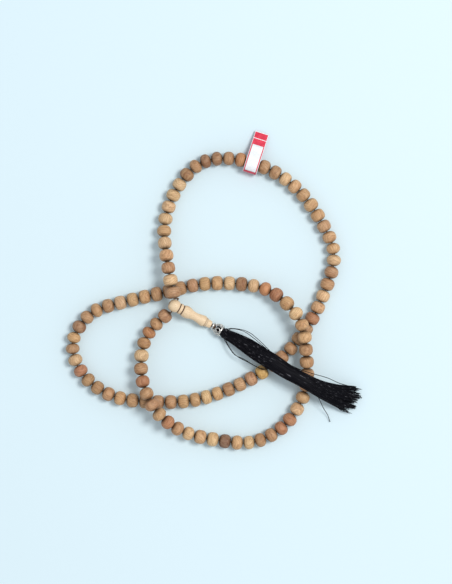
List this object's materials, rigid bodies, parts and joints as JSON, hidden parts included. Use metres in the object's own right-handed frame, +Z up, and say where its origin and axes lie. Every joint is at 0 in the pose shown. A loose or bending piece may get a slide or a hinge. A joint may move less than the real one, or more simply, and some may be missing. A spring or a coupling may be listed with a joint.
{
  "type": "misbaha prayer beads",
  "caption": "Closed strand of turned wooden prayer beads with a long imam bead, a filigree cap, a silk tassel and a folded tag, lying in loose crossing loops.",
  "frame": {"origin": "centre of the outline of the laid-out strand, on the surface it lies on", "axes": "+Z up from the surface; +Y from the bottom loop to the tag on the top loop; +X towards the tassel's fringe"},
  "size_m": [0.1776, 0.1908, 0.0181],
  "materials": {
    "bead_wood": "turned olive wood, polished by hand",
    "imam_wood": "turned pale boxwood with burnt rings",
    "cord": "twisted brown thread",
    "silver": "silvered filigree",
    "silk": "black silk thread",
    "tag_red": "red coated paper strip",
    "label_white": "blank white paper label"
  },
  "bodies": {
    "strand": {"cord": "cord", "beads_stretch_01": "bead_wood", "beads_stretch_02": "bead_wood", "beads_stretch_03": "bead_wood", "beads_stretch_04": "bead_wood", "beads_stretch_05": "bead_wood", "beads_stretch_06": "bead_wood", "beads_stretch_07": "bead_wood", "beads_stretch_08": "bead_wood", "beads_stretch_09": "bead_wood", "beads_stretch_10": "bead_wood", "beads_stretch_11": "bead_wood", "beads_stretch_12": "bead_wood"},
    "imam": {"imam_bead": "imam_wood", "tail_cord": "cord"},
    "knot": {"tail_knot": "cord"},
    "tassel": {"tassel_head": "silk", "tassel_binding": "silk", "tassel_skirt": "silk"},
    "cap": {"filigree_cap": "silver"},
    "tag": {"tag_strip": "tag_red", "tag_label": "label_white"},
    "bead_002": {"bead_002": "bead_wood"},
    "bead_005": {"bead_005": "bead_wood"},
    "bead_008": {"bead_008": "bead_wood"},
    "bead_011": {"bead_011": "bead_wood"},
    "bead_014": {"bead_014": "bead_wood"},
    "bead_017": {"bead_017": "bead_wood"},
    "bead_020": {"bead_020": "bead_wood"},
    "bead_023": {"bead_023": "bead_wood"},
    "bead_026": {"bead_026": "bead_wood"},
    "bead_029": {"bead_029": "bead_wood"},
    "bead_032": {"bead_032": "bead_wood"},
    "bead_035": {"bead_035": "bead_wood"},
    "bead_038": {"bead_038": "bead_wood"},
    "bead_041": {"bead_041": "bead_wood"},
    "bead_044": {"bead_044": "bead_wood"},
    "bead_047": {"bead_047": "bead_wood"},
    "bead_050": {"bead_050": "bead_wood"},
    "bead_053": {"bead_053": "bead_wood"},
    "bead_056": {"bead_056": "bead_wood"},
    "bead_059": {"bead_059": "bead_wood"},
    "bead_062": {"bead_062": "bead_wood"},
    "bead_065": {"bead_065": "bead_wood"},
    "bead_068": {"bead_068": "bead_wood"},
    "bead_071": {"bead_071": "bead_wood"},
    "bead_074": {"bead_074": "bead_wood"},
    "bead_077": {"bead_077": "bead_wood"},
    "bead_080": {"bead_080": "bead_wood"},
    "bead_083": {"bead_083": "bead_wood"},
    "bead_086": {"bead_086": "bead_wood"},
    "bead_089": {"bead_089": "bead_wood"},
    "bead_092": {"bead_092": "bead_wood"},
    "bead_095": {"bead_095": "bead_wood"},
    "bead_098": {"bead_098": "bead_wood"},
    "bead_101": {"bead_101": "bead_wood"},
    "bead_104": {"bead_104": "bead_wood"},
    "bead_107": {"bead_107": "bead_wood"}
  },
  "joints": [
    {"name": "imam_lift", "type": "hinge", "parent": "strand", "child": "imam", "pos_m": [-0.02355, -0.00948, 0.00991], "axis": [-0.4692, -0.8831, 0], "range_deg": [0, 110]},
    {"name": "tassel_swing", "type": "hinge", "parent": "imam", "child": "knot", "pos_m": [-0.00053, -0.0217, 0.00326], "axis": [0, 0, 1], "range_deg": [-30, 0]},
    {"name": "tassel_lift", "type": "hinge", "parent": "knot", "child": "tassel", "pos_m": [-0.00053, -0.0217, 0.00326], "axis": [-0.5241, -0.8517, 0], "range_deg": [0, 28]},
    {"name": "cap_spin", "type": "hinge", "parent": "tassel", "child": "cap", "pos_m": [-0.00053, -0.0217, 0.00326], "axis": [0.8476, -0.5216, 0.0978], "continuous": true},
    {"name": "tag_flip", "type": "hinge", "parent": "strand", "child": "tag", "pos_m": [0.02284, 0.07584, 0.00496], "axis": [0.9528, -0.3036, 0], "range_deg": [0, 165]},
    {"name": "bead_002_spin", "type": "hinge", "parent": "strand", "child": "bead_002", "pos_m": [-0.02594, 0.00576, 0.01291], "axis": [-0.1882, 0.9807, -0.0525], "continuous": true},
    {"name": "bead_005_spin", "type": "hinge", "parent": "strand", "child": "bead_005", "pos_m": [-0.02944, 0.02782, 0.00856], "axis": [-0.1181, 0.9401, -0.3198], "continuous": true},
    {"name": "bead_008_spin", "type": "hinge", "parent": "strand", "child": "bead_008", "pos_m": [-0.02725, 0.04959, 0.00454], "axis": [0.3169, 0.9482, -0.0226], "continuous": true},
    {"name": "bead_011_spin", "type": "hinge", "parent": "strand", "child": "bead_011", "pos_m": [-0.01633, 0.06879, 0.0044], "axis": [0.6544, 0.7561, 0], "continuous": true},
    {"name": "bead_014_spin", "type": "hinge", "parent": "strand", "child": "bead_014", "pos_m": [0.00156, 0.07826, 0.00471], "axis": [0.9949, 0.0942, 0.0356], "continuous": true},
    {"name": "bead_017_spin", "type": "hinge", "parent": "strand", "child": "bead_017", "pos_m": [0.02284, 0.07584, 0.00496], "axis": [0.9527, -0.3036, -0.0118], "continuous": true},
    {"name": "bead_020_spin", "type": "hinge", "parent": "strand", "child": "bead_020", "pos_m": [0.04236, 0.06615, 0.00459], "axis": [0.8141, -0.5804, -0.0216], "continuous": true},
    {"name": "bead_023_spin", "type": "hinge", "parent": "strand", "child": "bead_023", "pos_m": [0.0577, 0.05068, 0.0044], "axis": [0.5789, -0.8154, 0], "continuous": true},
    {"name": "bead_026_spin", "type": "hinge", "parent": "strand", "child": "bead_026", "pos_m": [0.0687, 0.03145, 0.0044], "axis": [0.4073, -0.9133, 0], "continuous": true},
    {"name": "bead_029_spin", "type": "hinge", "parent": "strand", "child": "bead_029", "pos_m": [0.06989, 0.01051, 0.0044], "axis": [-0.2876, -0.9578, 0], "continuous": true},
    {"name": "bead_032_spin", "type": "hinge", "parent": "strand", "child": "bead_032", "pos_m": [0.06186, -0.01046, 0.0044], "axis": [-0.4271, -0.9042, 0], "continuous": true},
    {"name": "bead_035_spin", "type": "hinge", "parent": "strand", "child": "bead_035", "pos_m": [0.05039, -0.02935, 0.0044], "axis": [-0.6056, -0.7958, 0], "continuous": true},
    {"name": "bead_038_slide", "type": "slide", "parent": "strand", "child": "bead_038", "axis": [-0.8044, -0.5941, 0], "range_m": [-0.00045, 0.00045]},
    {"name": "bead_041_spin", "type": "hinge", "parent": "strand", "child": "bead_041", "pos_m": [0.01528, -0.05643, 0.0044], "axis": [-0.9051, -0.4252, 0], "continuous": true},
    {"name": "bead_044_spin", "type": "hinge", "parent": "strand", "child": "bead_044", "pos_m": [-0.00469, -0.06399, 0.0044], "axis": [-0.9618, -0.2737, 0], "continuous": true},
    {"name": "bead_047_spin", "type": "hinge", "parent": "strand", "child": "bead_047", "pos_m": [-0.02594, -0.06696, 0.0044], "axis": [-0.9999, -0.0146, 0], "continuous": true},
    {"name": "bead_050_spin", "type": "hinge", "parent": "strand", "child": "bead_050", "pos_m": [-0.04883, -0.06596, 0.0044], "axis": [-0.9949, 0.1009, 0], "continuous": true},
    {"name": "bead_053_spin", "type": "hinge", "parent": "strand", "child": "bead_053", "pos_m": [-0.06969, -0.05841, 0.0044], "axis": [-0.826, 0.5637, 0], "continuous": true},
    {"name": "bead_056_spin", "type": "hinge", "parent": "strand", "child": "bead_056", "pos_m": [-0.08297, -0.0418, 0.0044], "axis": [-0.3578, 0.9338, 0], "continuous": true},
    {"name": "bead_059_spin", "type": "hinge", "parent": "strand", "child": "bead_059", "pos_m": [-0.08064, -0.02205, 0.0044], "axis": [0.5485, 0.8362, 0], "continuous": true},
    {"name": "bead_062_spin", "type": "hinge", "parent": "strand", "child": "bead_062", "pos_m": [-0.06339, -0.00952, 0.0044], "axis": [0.9648, 0.2631, 0], "continuous": true},
    {"name": "bead_065_spin", "type": "hinge", "parent": "strand", "child": "bead_065", "pos_m": [-0.04161, -0.00413, 0.0044], "axis": [0.9763, 0.2164, 0], "continuous": true},
    {"name": "bead_068_spin", "type": "hinge", "parent": "strand", "child": "bead_068", "pos_m": [-0.02011, 0.00101, 0.0044], "axis": [0.9686, 0.2484, 0], "continuous": true},
    {"name": "bead_071_spin", "type": "hinge", "parent": "strand", "child": "bead_071", "pos_m": [0.0017, 0.00404, 0.0044], "axis": [0.9997, 0.0251, 0], "continuous": true},
    {"name": "bead_074_spin", "type": "hinge", "parent": "strand", "child": "bead_074", "pos_m": [0.02345, 0.00245, 0.00556], "axis": [0.9759, -0.1703, 0.1367], "continuous": true},
    {"name": "bead_077_spin", "type": "hinge", "parent": "strand", "child": "bead_077", "pos_m": [0.04311, -0.00802, 0.01079], "axis": [0.6921, -0.6622, 0.2871], "continuous": true},
    {"name": "bead_080_spin", "type": "hinge", "parent": "strand", "child": "bead_080", "pos_m": [0.05364, -0.02796, 0.01261], "axis": [0.1318, -0.9775, -0.1648], "continuous": true},
    {"name": "bead_083_spin", "type": "hinge", "parent": "strand", "child": "bead_083", "pos_m": [0.05528, -0.05013, 0.00734], "axis": [0.0098, -0.955, -0.2963], "continuous": true},
    {"name": "bead_086_spin", "type": "hinge", "parent": "strand", "child": "bead_086", "pos_m": [0.04942, -0.0711, 0.0044], "axis": [-0.5075, -0.8616, 0], "continuous": true},
    {"name": "bead_089_spin", "type": "hinge", "parent": "strand", "child": "bead_089", "pos_m": [0.03398, -0.08663, 0.0044], "axis": [-0.8692, -0.4945, 0], "continuous": true},
    {"name": "bead_092_spin", "type": "hinge", "parent": "strand", "child": "bead_092", "pos_m": [0.01359, -0.09113, 0.0044], "axis": [-0.9967, 0.0812, 0], "continuous": true},
    {"name": "bead_095_spin", "type": "hinge", "parent": "strand", "child": "bead_095", "pos_m": [-0.00839, -0.08766, 0.00534], "axis": [-0.9681, 0.2262, 0.108], "continuous": true},
    {"name": "bead_098_spin", "type": "hinge", "parent": "strand", "child": "bead_098", "pos_m": [-0.02755, -0.07857, 0.01053], "axis": [-0.7293, 0.5845, 0.3557], "continuous": true},
    {"name": "bead_101_spin", "type": "hinge", "parent": "strand", "child": "bead_101", "pos_m": [-0.04011, -0.06152, 0.01229], "axis": [-0.3811, 0.9051, -0.1886], "continuous": true},
    {"name": "bead_104_spin", "type": "hinge", "parent": "strand", "child": "bead_104", "pos_m": [-0.04333, -0.03918, 0.00756], "axis": [0.1009, 0.9726, -0.2092], "continuous": true},
    {"name": "bead_107_spin", "type": "hinge", "parent": "strand", "child": "bead_107", "pos_m": [-0.03447, -0.02032, 0.00681], "axis": [0.7227, 0.6701, 0.1692], "continuous": true}
  ]
}
